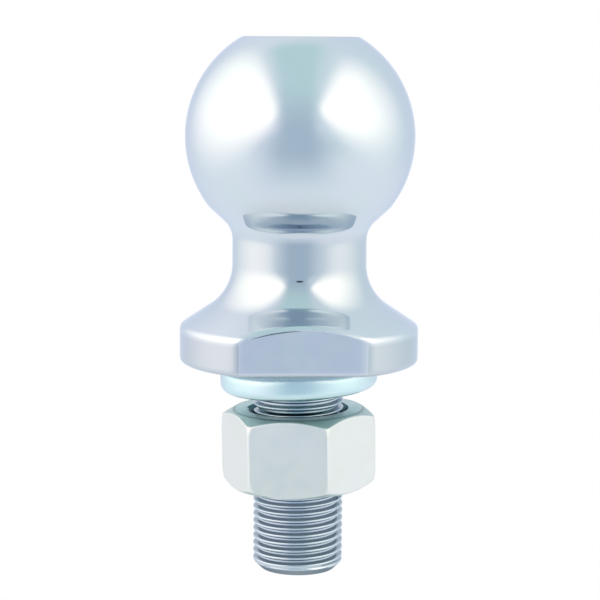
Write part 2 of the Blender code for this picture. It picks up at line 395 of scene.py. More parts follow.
def rows_of_side_and_seat(angles):
    """Radius and height of the rows down the collar's side, round its edge and in to the shank."""
    rim = smooth_min(np.full_like(angles, COLLAR_RADIUS), flat_limit(angles), FLAT_BLEND_ON_SIDE)
    side = line((0.0, COLLAR_TOP), (0.0, COLLAR_SEAT + COLLAR_EDGE_ROUND), SIDE_SPACING)
    side = np.array(side)[1:, 1:]
    edge = np.linspace(0.0, pi / 2, COLLAR_EDGE_STEPS + 1)[1:, None]
    edge_radius = rim - COLLAR_EDGE_ROUND * (1.0 - np.cos(edge))
    edge_height = COLLAR_SEAT + COLLAR_EDGE_ROUND * (1.0 - np.sin(edge))
    share = np.linspace(0.0, 1.0, SEAT_STEPS + 1)[1:, None]
    seat_radius = edge_radius[-1] * (1.0 - share) + THREAD_CREST * share
    rows = [(rim, side), (edge_radius, edge_height), (seat_radius, COLLAR_SEAT)]
    rows = [np.broadcast_arrays(radius, height) for radius, height in rows]
    return tuple(np.concatenate(part) for part in zip(*rows))


print("Collar, mm across and height of its seat:", in_mm((2 * COLLAR_RADIUS, COLLAR_SEAT)))

# %% [markdown]
# The shank hangs from the seat, and its thread is cut from the plain rod: it starts behind a chamfer
# at the end and runs out before it reaches the collar. The ribbon's depth fades at both, so that the
# crests blend into the rod. The ribbon isn't closed round the axis, because it climbs: its last column
# meets its first one pitch higher, and the two are welded.

# %% Shank and its end face
SHANK_CHAMFER = 1.5 * MM
SHANK_END_STEPS = 6
THREAD_START = (1.5 * MM, 2.6 * MM)
THREAD_RUNOUT = (41.2 * MM, 42.8 * MM)
FORGING_COLUMNS = 200


def threaded_shank():
    seam = np.arange(FORGING_COLUMNS + 1) / FORGING_COLUMNS * 2 * pi
    height = thread_rows(0.0, COLLAR_SEAT, seam)
    depth = thread_depth(height, seam) * (1.0 - smooth_step(height, *THREAD_RUNOUT))
    depth = depth * smooth_step(height, *THREAD_START)
    radius = np.minimum(THREAD_CREST - depth, THREAD_CREST - SHANK_CHAMFER + height)
    return polar(radius, height, seam)


def shank_end(angles):
    radius = (THREAD_CREST - SHANK_CHAMFER) * np.linspace(1.0, 0.0, SHANK_END_STEPS + 1)[:, None]
    return polar(radius, np.zeros_like(radius), angles)


print("Shank, rows and columns:", threaded_shank().shape[:2])

# %% [markdown]
# The three grids meet at the seat and at the end face, and together they are the forging. It could be
# left as three objects, but the real one is one lump of steel, and one closed mesh has no gap that
# light could leak through. It rides on the ball's body and stands in for the CAD model's node.

# %% Tow ball in one piece
FORGING_SHARP_ANGLE = radians(38.0)


def make_tow_ball():
    angles = np.arange(FORGING_COLUMNS) / FORGING_COLUMNS * 2 * pi
    rows = (rows_above_side(angles), rows_of_side_and_seat(angles))
    radius, height = (np.concatenate(part) for part in zip(*rows))
    body = polar(radius, height, angles)
    parts = [(body, True), (threaded_shank(), False), (shank_end(angles), True)]
    return solid("tow_ball_turned", parts, FORGING_SHARP_ANGLE)


tow_ball = make_tow_ball()
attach(tow_ball, "ball")
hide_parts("tow_ball")

# %% [markdown]
# The cutter left a fine burr where it ran out at the top of the front flat, on the left of the arch. It
# shows as a dark line, and its dark tint is painted shade. A line in the material would be flat and
# blur up close, so the burr is a thin thread of metal, swept along the arch as a curve with a Bevel
# would be. Its ends are drawn to points.

# %% Burr on the front flat
BURR_FROM = -10.6 * MM
BURR_TO = -0.5 * MM
BURR_WIDTH = 0.13 * MM
BURR_STEPS = 40
BURR_SIDES = 6
# Leaves the neck out, so that only the flare is followed
BURR_CLEAR_OF_NECK = 2.0 * MM
# How far the blend between flat and flare carries the arch outwards, and how deep the burr is set in
BURR_OFFSET = 0.95 * MM
BURR_SINK = 0.02 * MM
# Under 1 keeps the burr thick for most of its length
BURR_TAPER = 0.6
BURR_SHARP_ANGLE = radians(60.0)


def make_burr():
    flare = forging_outline[forging_outline[:, 0] > NECK_RADIUS + BURR_CLEAR_OF_NECK]
    flare = flare[flare[:, 1] < COLLAR_TOP + FLARE_CUT]
    flare = flare[np.argsort(flare[:, 0])]
    along = np.linspace(BURR_FROM, BURR_TO, BURR_STEPS + 1)
    reach = np.hypot(along, FLAT_DISTANCE) + BURR_OFFSET
    height = np.interp(reach, flare[:, 0], flare[:, 1])
    share = np.linspace(0.0, 1.0, BURR_STEPS + 1)
    width = BURR_WIDTH * np.sin(pi * share) ** BURR_TAPER
    around = np.arange(BURR_SIDES) / BURR_SIDES * 2 * pi
    across = width[:, None] * np.cos(around)
    up = height[:, None] + width[:, None] * np.sin(around)
    out = -(FLAT_DISTANCE - BURR_SINK) - across
    wire = np.stack([np.broadcast_to(along[:, None], up.shape), out, up], axis=-1)
    burr = solid("milling_burr", [(wire, True)], BURR_SHARP_ANGLE)
    burr.data.transform(Matrix.Rotation(FLAT_TURN, 4, "Z"))
    return burr


burr = make_burr()
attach(burr, "ball")

# %% [markdown]
# A split spring washer is a short piece of wire with a flattened section, rolled round and cut at a
# slant. A torus would be the quick way, but its section is round. This section is four arcs, large on
# the outside where the wire was rolled and small at the bore.

# %% Section of the washer's wire
WASHER_RADIUS = 16.5 * MM
WASHER_THICKNESS = 5.0 * MM
WASHER_OUTER_ROUND = 1.9 * MM
WASHER_INNER_ROUND = 0.4 * MM
WASHER_OUTER_STEPS = 8
WASHER_INNER_STEPS = 3
WASHER_LEAN = radians(3.1)
WASHER_CLEARANCE = 0.3 * MM
# The bore is larger where the leaning washer would touch the thread
WASHER_BORE = THREAD_CREST + WASHER_CLEARANCE + WASHER_THICKNESS / 2 * sin(WASHER_LEAN)


def washer_section():
    """Radii and heights round the wire's section, from its foot outwards."""
    side = WASHER_THICKNESS / 2 - WASHER_OUTER_ROUND
    bore_side = WASHER_THICKNESS / 2 - WASHER_INNER_ROUND
    outer, inner = WASHER_RADIUS - WASHER_OUTER_ROUND, WASHER_BORE + WASHER_INNER_ROUND
    section = arc((outer, -side), WASHER_OUTER_ROUND, -pi / 2, 0.0, WASHER_OUTER_STEPS)
    section += arc((outer, side), WASHER_OUTER_ROUND, 0.0, pi / 2, WASHER_OUTER_STEPS)
    section += arc((inner, bore_side), WASHER_INNER_ROUND, pi / 2, pi, WASHER_INNER_STEPS)
    section += arc((inner, -bore_side), WASHER_INNER_ROUND, pi, 1.5 * pi, WASHER_INNER_STEPS)
    return np.array(section).T


print("Washer, mm outside and in its bore:", in_mm((2 * WASHER_RADIUS, 2 * WASHER_BORE)))

# %% [markdown]
# The section is swept round the shank while it sinks a little, because a spring washer's ends stand
# proud of each other. Sliding each point round by its own height makes the cut slant. The split is at
# the back, since the photograph doesn't show it, and the whole ring hangs a little low on its left.

# %% Lock washer
WASHER_RISE = 0.45 * MM
WASHER_SPLIT = 2.0 * MM
WASHER_SPLIT_SLANT = radians(30.0)
WASHER_SPLIT_AT = pi / 2
WASHER_SWEEP_STEPS = 168
WASHER_FRONT_LIFT = 0.85 * MM
WASHER_SHARP_ANGLE = radians(38.0)


def washer_grids():
    """The swept wire and a closing fan at each of its ends."""
    radius, height = washer_section()
    middle = (WASHER_RADIUS + WASHER_BORE) / 2
    gap = WASHER_SPLIT / middle
    share = np.linspace(0.0, 1.0, WASHER_SWEEP_STEPS + 1)[:, None]
    angles = WASHER_SPLIT_AT + gap / 2 + (2 * pi - gap) * share
    angles = angles + height * tan(WASHER_SPLIT_SLANT) / middle
    # The upper side bulges a little toward the front, where the washer nearly meets the collar
    upper = smooth_step(height, 0.0, WASHER_THICKNESS / 2)
    lift = WASHER_FRONT_LIFT * np.clip(-np.sin(angles), 0.0, 1.0) * upper
    height = height + lift + WASHER_RISE * (0.5 - share)
    wire = polar(np.broadcast_to(radius, angles.shape), height, angles)
    grids = [(wire, True)]
    for end in (wire[:1], wire[-1:]):
        centre = np.broadcast_to(end.mean(axis=1, keepdims=True), end.shape)
        grids.append((np.concatenate([end, centre]), True))
    return grids


def make_lock_washer():
    low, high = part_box("lock_washer")
    washer = solid("lock_washer_rolled", washer_grids(), WASHER_SHARP_ANGLE)
    washer.data.transform(Matrix.Rotation(-WASHER_LEAN, 4, "Y"))
    lowest = min(point.co.z for point in washer.data.vertices)
    washer.data.transform(Matrix.Translation((0.0, 0.0, low.z - lowest)))
    print("Washer's box in the CAD model, mm:", in_mm((*low, *high)))
    return washer


lock_washer = make_lock_washer()
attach(lock_washer, "washer")
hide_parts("lock_washer")

# %% [markdown]
# The nut is a cold formed hexagon, 1 1/8 inch across its flats. A cylinder with six sides and a bevel
# would be nearly right, but the real corners are rounded more towards the ends, where tumbling wears
# them. So the six faces are six limits on the radius, joined softly, with columns crowded at the
# corners where the shape turns.

# %% Hexagon of the nut
NUT_FLAT_DISTANCE = 1.125 * INCH / 2
NUT_HEIGHT = 0.640625 * INCH
NUT_TURN = radians(21.5)
NUT_FACE_TURN = radians(60.0)
NUT_HALF_FACE = radians(30.0)
NUT_HALF_FACE_STEPS = 24
NUT_COLUMN_CROWDING = 1.8
NUT_CORNER_BLEND = (0.35 * MM, 1.6 * MM)
NUT_CORNER_WEAR_DEPTH = (3.4 * MM, 0.6 * MM)
# Keeps a face's limit finite on the far side of the nut
LEAST_FACING = 0.3

nut_faces = [NUT_TURN + NUT_FACE_TURN * side for side in range(6)]


def nut_angles():
    """Columns round the nut, closer together towards the six corners."""
    share = np.arange(NUT_HALF_FACE_STEPS) / NUT_HALF_FACE_STEPS
    half = NUT_HALF_FACE * (1.0 - (1.0 - share) ** NUT_COLUMN_CROWDING)
    face = np.concatenate([-half[::-1][:-1], half, [NUT_HALF_FACE]])
    return np.concatenate([middle + face for middle in nut_faces])


def hexagon_limit(height, angles):
    """Radius of the six faces, with the corners rounded more near the ends."""
    planes = [NUT_FLAT_DISTANCE / np.maximum(np.cos(angles - face), LEAST_FACING) for face in nut_faces]
    planes = np.sort(planes, axis=0)
    from_middle = [NUT_HEIGHT / 2 - depth for depth in NUT_CORNER_WEAR_DEPTH]
    near_end = smooth_step(np.abs(height), *from_middle)
    blend = NUT_CORNER_BLEND[0] + (NUT_CORNER_BLEND[1] - NUT_CORNER_BLEND[0]) * near_end
    return smooth_min(planes[0], planes[1], blend)


print("Nut, mm across its flats and high:", in_mm((2 * NUT_FLAT_DISTANCE, NUT_HEIGHT)))

# %% [markdown]
# Both ends of a nut are chamfered by a cone, which leaves the well known arcs on the six faces. A Bevel
# can't make them, because the chamfer cuts the corners and hardly touches the faces. Here each cone is
# one more limit on the radius, and the arcs come out where it crosses the hexagon.

# %% Outside of the nut
NUT_CHAMFER = radians(30.0)
NUT_TOP_FACE = 13.6 * MM
NUT_BOTTOM_FACE = 14.2 * MM
NUT_SINK = 10.7 * MM
NUT_CHAMFER_BLEND = 0.3 * MM
NUT_CHAMFER_MARGIN = 0.5 * MM
NUT_CHAMFER_SPACING = 0.1 * MM
NUT_SIDE_SPACING = 0.7 * MM
NUT_END_FACE_STEPS = 5


def nut_row_heights():
    """Heights from the nut's middle, close together where the cones cut."""
    half = NUT_HEIGHT / 2
    chamfer_rise = (NUT_FLAT_DISTANCE / cos(NUT_HALF_FACE) - NUT_TOP_FACE) * tan(NUT_CHAMFER)
    drops = line((0.0, 0.0), (0.0, chamfer_rise + NUT_CHAMFER_MARGIN), NUT_CHAMFER_SPACING)
    upper = [half - drop for _, drop in drops]
    lower = [-height for height in upper[::-1]]
    between = line((0.0, upper[-1]), (0.0, lower[0]), NUT_SIDE_SPACING)[1:-1]
    return np.array(upper + [height for _, height in between] + lower)[:, None]


def nut_outside(angles):
    half = NUT_HEIGHT / 2
    height = nut_row_heights()
    top_cone = NUT_TOP_FACE + (half - height) / tan(NUT_CHAMFER)
    bottom_cone = NUT_BOTTOM_FACE + (half + height) / tan(NUT_CHAMFER)
    radius = smooth_min(hexagon_limit(height, angles), top_cone, NUT_CHAMFER_BLEND)
    radius = smooth_min(radius, bottom_cone, NUT_CHAMFER_BLEND)
    share = np.linspace(0.0, 1.0, NUT_END_FACE_STEPS + 1)[:, None]
    top_face = NUT_SINK + (radius[0] - NUT_SINK) * share[:-1]
    bottom_face = radius[-1] + (NUT_SINK - radius[-1]) * share[1:]
    flat = np.full((NUT_END_FACE_STEPS, 1), half)
    return polar(
        np.concatenate([top_face, radius, bottom_face]), np.concatenate([flat, height, -flat]), angles
    )


print("Nut, rows of its side:", len(nut_row_heights()))

# %% [markdown]
# The hole is countersunk at both ends and threaded to fit the shank, so it is the same ribbon with a
# little more room. It could be a plain dark bore, since hardly any of it shows at rest, but the nut
# runs down past the shank's end, and then its first turns can be seen from below.

# %% Threaded hole of the nut
NUT_THREAD_GAP = 0.25 * MM
NUT_SINK_ANGLE = radians(45.0)


def nut_hole(angles, centre):
    """The threaded hole, in step with the shank's thread when the nut's middle is at centre."""
    seam = np.append(angles, angles[0] + 2 * pi)
    half = NUT_HEIGHT / 2
    height = thread_rows(centre - half, centre + half, seam)
    groove = THREAD_CREST + NUT_THREAD_GAP - thread_depth(height, seam)
    sink = NUT_SINK - (half - np.abs(height - centre)) * tan(NUT_SINK_ANGLE)
    return polar(np.maximum(groove, sink), height - centre, seam)


print("Hole, mm across its grooves:", in_mm([2 * (THREAD_CREST + NUT_THREAD_GAP)]))

# %% [markdown]
# In the photograph the nut leans on its thread by about a degree. Turning the whole nut would push its
# thread into the shank's. So the outside is turned and the hole stays square, with the change spread
# over the chamfer of the hole.

# %% Hex nut
NUT_LEAN = radians(0.98)
NUT_SHARP_ANGLE = radians(38.0)


def make_hex_nut():
    low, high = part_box("hex_nut")
    centre = (low.z + high.z) / 2
    angles = nut_angles()
    outside, hole = nut_outside(angles), nut_hole(angles, centre)
    lean = np.array(Matrix.Rotation(-NUT_LEAN, 3, "Y"))
    for grid in (outside, hole):
        rim = np.hypot(grid[..., 0], grid[..., 1])
        share = smooth_step(rim, THREAD_CREST + NUT_THREAD_GAP, NUT_SINK)[..., None]
        grid += (grid @ lean.T - grid) * share
        grid[..., 2] += centre
    return solid("hex_nut_formed", [(outside, True), (hole, False)], NUT_SHARP_ANGLE)


hex_nut = make_hex_nut()
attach(hex_nut, "nut")
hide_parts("hex_nut")

# %% [markdown]
# Every material below is a small tree of nodes. Such trees can be wired by hand in the shader editor,
# but ten finishes of one kind are easier to keep alike in code. These helpers add a node with its
# settings, and place the nodes afterwards so that each tree can be read from left to right.

# %% Helpers for node trees
NODE_SPACING = (220.0, 200.0)
# The sockets of a Mix node that blends colours
MIX_FIRST, MIX_SECOND, MIX_RESULT = 6, 7, 2


def node(tree, kind, **settings):
    made = tree.nodes.new(kind)
    for name, value in settings.items():
        setattr(made, name, value)
    return made


def vector_math(tree, operation, first, second=None):
    """A vector operation on a socket and, for some, a plain vector."""
    made = node(tree, "ShaderNodeVectorMath", operation=operation)
    tree.links.new(first, made.inputs[0])
    if second is not None:
        made.inputs[1].default_value = second
    return made.outputs["Value" if operation == "LENGTH" else "Vector"]


def new_tree(name):
    """A material and its node tree."""
    material = bpy.data.materials.new(name)
    material.use_nodes = True
    return material, material.node_tree


def lay_out(tree):
    """Places each node to the left of the nodes that it feeds."""
    column = {made.name: 0 for made in tree.nodes}
    for _ in tree.nodes:
        for link in tree.links:
            before = column[link.to_node.name] + 1
            column[link.from_node.name] = max(column[link.from_node.name], before)
    filled = {}
    for made in tree.nodes:
        across = column[made.name]
        made.location = (-NODE_SPACING[0] * across, -NODE_SPACING[1] * filled.get(across, 0))
        filled[across] = filled.get(across, 0) + 1


print("Node spacing:", NODE_SPACING)

# %% [markdown]
# Plating is never quite even. Its tint drifts, its gloss varies and a tool has left fine lines under
# it. Image textures could carry all that, but they need unwrapping and blur up close. Noise in the
# piece's own coordinates needs neither, and stretching it turns specks into the lines of a lathe.

# %% Noise, rings and ramps
RING_DISTORTION = 0.4
RING_DETAIL = 2.0
# Blender's rings turn by this many radians in a metre at a scale of 1
RING_RATE = 20.0


def piece_place(tree):
    """Places in the piece's own coordinates, which move with it."""
    return node(tree, "ShaderNodeTexCoord").outputs["Object"]


def noise(tree, scale, detail, stretch=(1.0, 1.0, 1.0)):
    """Noise on the piece, stretched along its axes. Scale is in features a metre."""
    spread = node(tree, "ShaderNodeMapping")
    spread.inputs["Scale"].default_value = stretch
    tree.links.new(piece_place(tree), spread.inputs["Vector"])
    made = node(tree, "ShaderNodeTexNoise")
    made.inputs["Scale"].default_value = scale
    made.inputs["Detail"].default_value = detail
    tree.links.new(spread.outputs["Vector"], made.inputs["Vector"])
    return made.outputs["Fac"]


def turned_rings(tree, scale):
    """Rings round the axis, as a facing cut leaves them."""
    rings = node(tree, "ShaderNodeTexWave", wave_type="RINGS", rings_direction="Z")
    rings.inputs["Scale"].default_value = scale
    rings.inputs["Distortion"].default_value = RING_DISTORTION
    rings.inputs["Detail"].default_value = RING_DETAIL
    tree.links.new(piece_place(tree), rings.inputs["Vector"])
    return rings.outputs["Fac"]


def ramp(tree, value, stops):
    """A ramp over a value: stops are (position, colour or brightness) pairs."""
    made = node(tree, "ShaderNodeValToRGB")
    made.color_ramp.interpolation = "EASE"
    while len(made.color_ramp.elements) < len(stops):
        made.color_ramp.elements.new(0.5)
    for element, (position, colour) in zip(made.color_ramp.elements, stops):
        element.position = position
        element.color = (colour, colour, colour, 1.0) if isinstance(colour, float) else (*colour, 1.0)
    tree.links.new(value, made.inputs["Fac"])
    return made.outputs["Color"]


print("Rings of scale 100 lie this far apart, mm:", in_mm([2 * pi / (RING_RATE * 100)]))

# %% [markdown]
# These helpers paint shade into a tint, and a highlight where a level is over one. Vertex paint could
# show it, but a ramp over the height, or over the reach from the axis, is exact and needs no fine mesh.
# A mark is the same thing inside a small oval.

# %% Painted light and shade in the plating
MARK_EDGE = (0.55, 1.0)


def with_painted_light(tree, tint, share, stops):
    """A tint times the brightness that a ramp gives for a share."""
    mixed = node(tree, "ShaderNodeMix", data_type="RGBA", blend_type="MULTIPLY")
    mixed.inputs[0].default_value = 1.0
    tree.links.new(tint, mixed.inputs[MIX_FIRST])
    tree.links.new(ramp(tree, share, stops), mixed.inputs[MIX_SECOND])
    return mixed.outputs[MIX_RESULT]


def painted_light_by_place(tree, tint, levels, along):
    """Paints light and shade into a tint by (mm, brightness) pairs along the height, or along the reach
    from the axis.
    """
    if along == "reach":
        across = vector_math(tree, "MULTIPLY", piece_place(tree), (1.0, 1.0, 0.0))
        place = vector_math(tree, "LENGTH", across)
    else:
        parts = node(tree, "ShaderNodeSeparateXYZ")
        tree.links.new(piece_place(tree), parts.inputs["Vector"])
        place = parts.outputs["Z"]
    span = levels[-1][0] * MM
    share = node(tree, "ShaderNodeMapRange")
    share.inputs["From Max"].default_value = span
    tree.links.new(place, share.inputs["Value"])
    stops = [(at * MM / span, level) for at, level in levels]
    return with_painted_light(tree, tint, share.outputs["Result"], stops)


def with_painted_spot(tree, tint, centre, size, level):
    """Paints a dark spot into a tint inside a small oval, given by its centre and its half width along
    each axis.
    """
    apart = vector_math(tree, "SUBTRACT", piece_place(tree), centre)
    reach = vector_math(tree, "LENGTH", vector_math(tree, "DIVIDE", apart, size))
    return with_painted_light(tree, tint, reach, [(MARK_EDGE[0], level), (MARK_EDGE[1], 1.0)])


print("A mark fades out over the outer", round(1.0 - MARK_EDGE[0], 2), "of its width")

# %% [markdown]
# All three pieces are plated steel, so each finish is the Principled shader as a metal. Its tint, its
# roughness and its grain are the arguments, and what the finishes share is written once here. The rim
# is the tint at a grazing angle: plain metal would turn white there, and plated steel stays bluish.

# %% Plated metal
PALE_RIM = (0.8, 0.8, 0.85)
DRIFT_SCALE, DRIFT_DETAIL, DRIFT_RANGE = 90.0, 3.0, (0.35, 0.65)
WEAR_SCALE, WEAR_DETAIL, WEAR_RANGE = 360.0, 5.0, (0.3, 0.7)
GRAIN_DETAIL = 3.0
GRAIN_DEPTH = 0.02 * MM


def plated(
    name, tints, roughness, grain=None, rings=None, strength=0.1, rim=PALE_RIM,
    levels=None, along="height", mark=None,
):
    """A plated metal, with a grain of (scale, stretch) or rings of one scale under the plating."""
    material, tree = new_tree(name)
    shader = tree.nodes["Principled BSDF"]
    shader.inputs["Metallic"].default_value = 1.0
    shader.inputs["Specular Tint"].default_value = (*rim, 1.0)
    drift = noise(tree, DRIFT_SCALE, DRIFT_DETAIL)
    tint = ramp(tree, drift, list(zip(DRIFT_RANGE, tints)))
    if levels:
        tint = painted_light_by_place(tree, tint, levels, along)
    if mark:
        tint = with_painted_spot(tree, tint, *mark)
    tree.links.new(tint, shader.inputs["Base Color"])
    wear = noise(tree, WEAR_SCALE, WEAR_DETAIL)
    rough = ramp(tree, wear, list(zip(WEAR_RANGE, roughness)))
    tree.links.new(rough, shader.inputs["Roughness"])
    lines = turned_rings(tree, rings) if rings else noise(tree, grain[0], GRAIN_DETAIL, grain[1])
    bump = node(tree, "ShaderNodeBump")
    bump.inputs["Strength"].default_value = strength
    bump.inputs["Distance"].default_value = GRAIN_DEPTH
    tree.links.new(lines, bump.inputs["Height"])
    tree.links.new(bump.outputs["Normal"], shader.inputs["Normal"])
    lay_out(tree)
    print(name, "has", len(tree.nodes), "nodes")
    return material


print("Drift of the tint and of the wear, mm across:", in_mm((1 / DRIFT_SCALE, 1 / WEAR_SCALE)))

# %% [markdown]
# One mesh can carry several finishes, because each face holds the number of a material. Picking faces
# by hand in Edit mode works too, but it is lost when the mesh is made again. So each finish comes with
# a test of a face's place and slant, and the faces that pass get it.

# %% Finishes on chosen faces
def paint(thing, finish, chosen):
    """Gives the faces that a test picks a finish of their own."""
    thing.data.materials.append(finish)
    index = len(thing.data.materials) - 1
    picked = [face for face in thing.data.polygons if chosen(face)]
    for face in picked:
        face.material_index = index
    print(thing.name, "faces in", finish.name + ":", len(picked))


print("Faces to share out:", {thing.name: len(thing.data.polygons) for thing in (tow_ball, hex_nut)})

# %% [markdown]
# The neck, the flare and the collar are turned, polished and bright plated. They are nearly a mirror,
# but a perfect mirror looks like glass, so a faint noise squashed round the axis bends the reflections
# as a lathe's last pass does. The tint is a blue grey, with painted shade down the neck and the top of
# the flare, and a plain darker band on the collar's side. A small dark spot at the foot of the neck is
# a painted reflection of the camera's lens.

# %% Turned plating of neck, flare and collar
BRIGHT_TINTS = [(0.55, 0.61, 0.68), (0.54, 0.62, 0.67)]
LATHE_GRAIN = (1200.0, (0.05, 0.05, 1.0))
# Painted shade in the neck and a darker collar side: height in mm and share of the open surface's
# brightness
NECK_SHADE_LEVELS = [
    (44.0, 0.86), (50.4, 0.86), (51.3, 1.0), (56.0, 0.97), (60.0, 0.93), (70.0, 0.93), (73.0, 1.0),
]
# Painted reflection of the camera's lens: centre, half width along each axis and brightness
LENS_REFLECTION_SPOT = ((0.1 * MM, -14.05 * MM, 62.85 * MM), (0.95 * MM, 1.5 * MM, 0.26 * MM), 0.16)

turned_plating = plated(
    "turned_plating", BRIGHT_TINTS, (0.06, 0.10), grain=LATHE_GRAIN, strength=0.06,
    rim=(0.80, 0.84, 0.90), levels=NECK_SHADE_LEVELS, mark=LENS_REFLECTION_SPOT,
)
tow_ball.data.materials.append(turned_plating)

# %% [markdown]
# The wrench flats are milled and left rougher than the turned faces. The cutter's path leaves lines
# along the flat, so the noise is drawn out along x. A wide range of roughness would show as blotches on
# such a plain face, and the range is kept narrow.

# %% Milled plating of the wrench flats
FLAT_FACING = 0.93
FLAT_DEPTH = 21.0 * MM
MILLED_GRAIN = (2200.0, (0.02, 1.0, 1.0))

milled_plating = plated(
    "milled_plating", [(0.58, 0.62, 0.72), (0.56, 0.63, 0.70)], (0.29, 0.35), grain=MILLED_GRAIN,
    strength=0.35,
)


def on_flats(face):
    normal = Vector((sin(FLAT_TURN), -cos(FLAT_TURN), 0.0))
    on_collar = COLLAR_SEAT < face.center.z < COLLAR_TOP + FLARE_CUT
    facing = abs(face.normal.dot(normal)) > FLAT_FACING
    return on_collar and facing and abs(face.center.dot(normal)) > FLAT_DEPTH


paint(tow_ball, milled_plating, on_flats)

# %% [markdown]
# In the photograph each turn of the thread shows a bright crest, a dark flank and a bright root. The
# flanks get painted shade and the crests a painted highlight in the tint. One brightness for all of it
# would make the shank look like a spring. Each band could be a finish of its own, but a ramp over the
# reach from the axis gives every turn the same bands with soft edges.

# %% Thread plating of the shank
# Painted shade on the flanks and painted highlight on the crests: millimetres from the axis and
# brightness
THREAD_PAINTED_BANDS = [(0.0, 1.0), (8.57, 1.0), (8.68, 0.66), (9.20, 0.70), (9.42, 1.12), (10.0, 1.12)]
THREAD_GRAIN = (1800.0, (0.1, 0.1, 1.0))
FACE_MARGIN = 0.1 * MM

thread_plating = plated(
    "thread_plating", [(0.46, 0.53, 0.61), (0.44, 0.53, 0.59)], (0.08, 0.12), grain=THREAD_GRAIN,
    strength=0.08, levels=THREAD_PAINTED_BANDS, along="reach",
)


def on_shank(face):
    reach = face.center.xy.length
    return face.center.z < COLLAR_SEAT - FACE_MARGIN and reach < THREAD_CREST + FACE_MARGIN


paint(tow_ball, thread_plating, on_shank)

# %% [markdown]
# The ball slides in its coupler, and its plating is a little less sharp than the neck's. In the picture
# that shows as soft edges round its two highlights. It could be a ramp in the neck's material, but a
# finish of its own is simpler to set.

# %% Plating of the ball
ball_plating = plated(
    "ball_plating", BRIGHT_TINTS, (0.13, 0.18), grain=LATHE_GRAIN, strength=0.06, rim=(0.78, 0.82, 0.89)
)


def on_ball(face):
    return face.center.z > BALL_CENTRE - sqrt(BALL_RADIUS**2 - CONE_RADIUS**2)


paint(tow_ball, ball_plating, on_ball)

# %% [markdown]
# The flat top was faced by a tool that moved straight in, which leaves rings about the axis. Blender's
# Wave texture makes rings by itself. This face looks up into the lightest part of the studio, so its
# tint is darker, or it would lose its form in white.

# %% Faced top of the ball
TOP_FACING = 0.97
FACED_RINGS = 600.0

faced_plating = plated(
    "faced_plating", [(0.48, 0.54, 0.60), (0.47, 0.55, 0.60)], (0.28, 0.34), rings=FACED_RINGS,
    strength=0.25, rim=(0.60, 0.65, 0.72),
)


def on_faced_top(face):
    return face.center.z > BALL_CENTRE and face.normal.z > TOP_FACING


paint(tow_ball, faced_plating, on_faced_top)

# %% [markdown]
# The shank's end is faced and chamfered. Only the chamfer can be seen in the photograph, and it is the
# darkest part of the shank. It could be left to the light, but the white table would brighten it. So
# the whole end has the rings of the top and a much darker tint.

# %% End of the shank
END_DEPTH = 0.2 * MM

end_plating = plated(
    "end_plating", [(0.26, 0.31, 0.36), (0.25, 0.31, 0.35)], (0.20, 0.28), rings=FACED_RINGS,
    strength=0.20, rim=(0.45, 0.50, 0.56),
)


def on_shank_end(face):
    return face.center.z < SHANK_CHAMFER - END_DEPTH and face.center.xy.length < THREAD_CREST


paint(tow_ball, end_plating, on_shank_end)

# %% [markdown]
# The washer is plated in bright zinc with a turquoise tint that the other pieces lack. The tint is in
# the metal's own colour, and not in the light, because the nut beside it has none. It was rolled and
# not cut, so its grain is faint.

# %% Zinc of the washer
ROLLED_GRAIN = (700.0, (0.1, 0.1, 1.0))

washer_zinc = plated(
    "washer_zinc", [(0.56, 0.71, 0.77), (0.53, 0.72, 0.76)], (0.22, 0.28), grain=ROLLED_GRAIN,
    strength=0.04,
)
lock_washer.data.materials.append(washer_zinc)

# %% [markdown]
# The nut's sides are satin clear zinc: paler and much rougher than the rest, so they show hardly any
# reflection and read as three even tones. An even grain, not drawn out along any axis, stands for the
# tumbled surface.

# %% Zinc of the nut's sides
TUMBLED_SCALE = 900.0
EVEN = (1.0, 1.0, 1.0)

nut_zinc = plated(
    "nut_zinc", [(0.67, 0.71, 0.72), (0.65, 0.70, 0.69)], (0.38, 0.48), grain=(TUMBLED_SCALE, EVEN),
    strength=0.20,
)
hex_nut.data.materials.append(nut_zinc)

# %% [markdown]
# The nut's hole is nearly black in the photograph. A pale metal would still find some white to mirror
# in there, however deep it is, so the hole's dark tint is painted shade. The burr on the collar shares
# this painted shade, because the photograph shows it as a dark line.

# %% Painted shade of the nut's hole and the burr
HOLE_MARGIN = 0.05 * MM

# Dark tint that is painted shade in the hole and on the burr
hole_painted_shade = plated(
    "hole_painted_shade", [(0.13, 0.19, 0.21), (0.12, 0.18, 0.19)], (0.25, 0.35), grain=THREAD_GRAIN,
    strength=0.08, rim=(0.35, 0.42, 0.44),
)
burr.data.materials.append(hole_painted_shade)


def in_nut(face):
    return face.center.xy.length < NUT_SINK - HOLE_MARGIN


paint(hex_nut, hole_painted_shade, in_nut)

# %% [markdown]
# The nut's ends are machined, and greener than its sides. A dark line of painted shade runs round
# where the end face meets its chamfer, and the chamfer is a little darker than the face. It could be a
# groove in the mesh, but it is finer than the mesh's rows, so it is a band in the material.

# %% Zinc of the nut's ends
END_FACING = 0.7
# Painted shade at the end face's edge: millimetres from the axis and brightness
NUT_END_SHADE_LEVELS = [(0.0, 1.0), (13.25, 1.0), (13.55, 0.60), (13.75, 0.60), (14.1, 0.80), (20.0, 0.85)]

nut_end_zinc = plated(
    "nut_end_zinc", [(0.64, 0.80, 0.79), (0.61, 0.78, 0.76)], (0.40, 0.48), grain=(TUMBLED_SCALE, EVEN),
    strength=0.15, levels=NUT_END_SHADE_LEVELS, along="reach",
)


def on_nut_ends(face):
    return abs(face.normal.z) > END_FACING and not in_nut(face)


paint(hex_nut, nut_end_zinc, on_nut_ends)

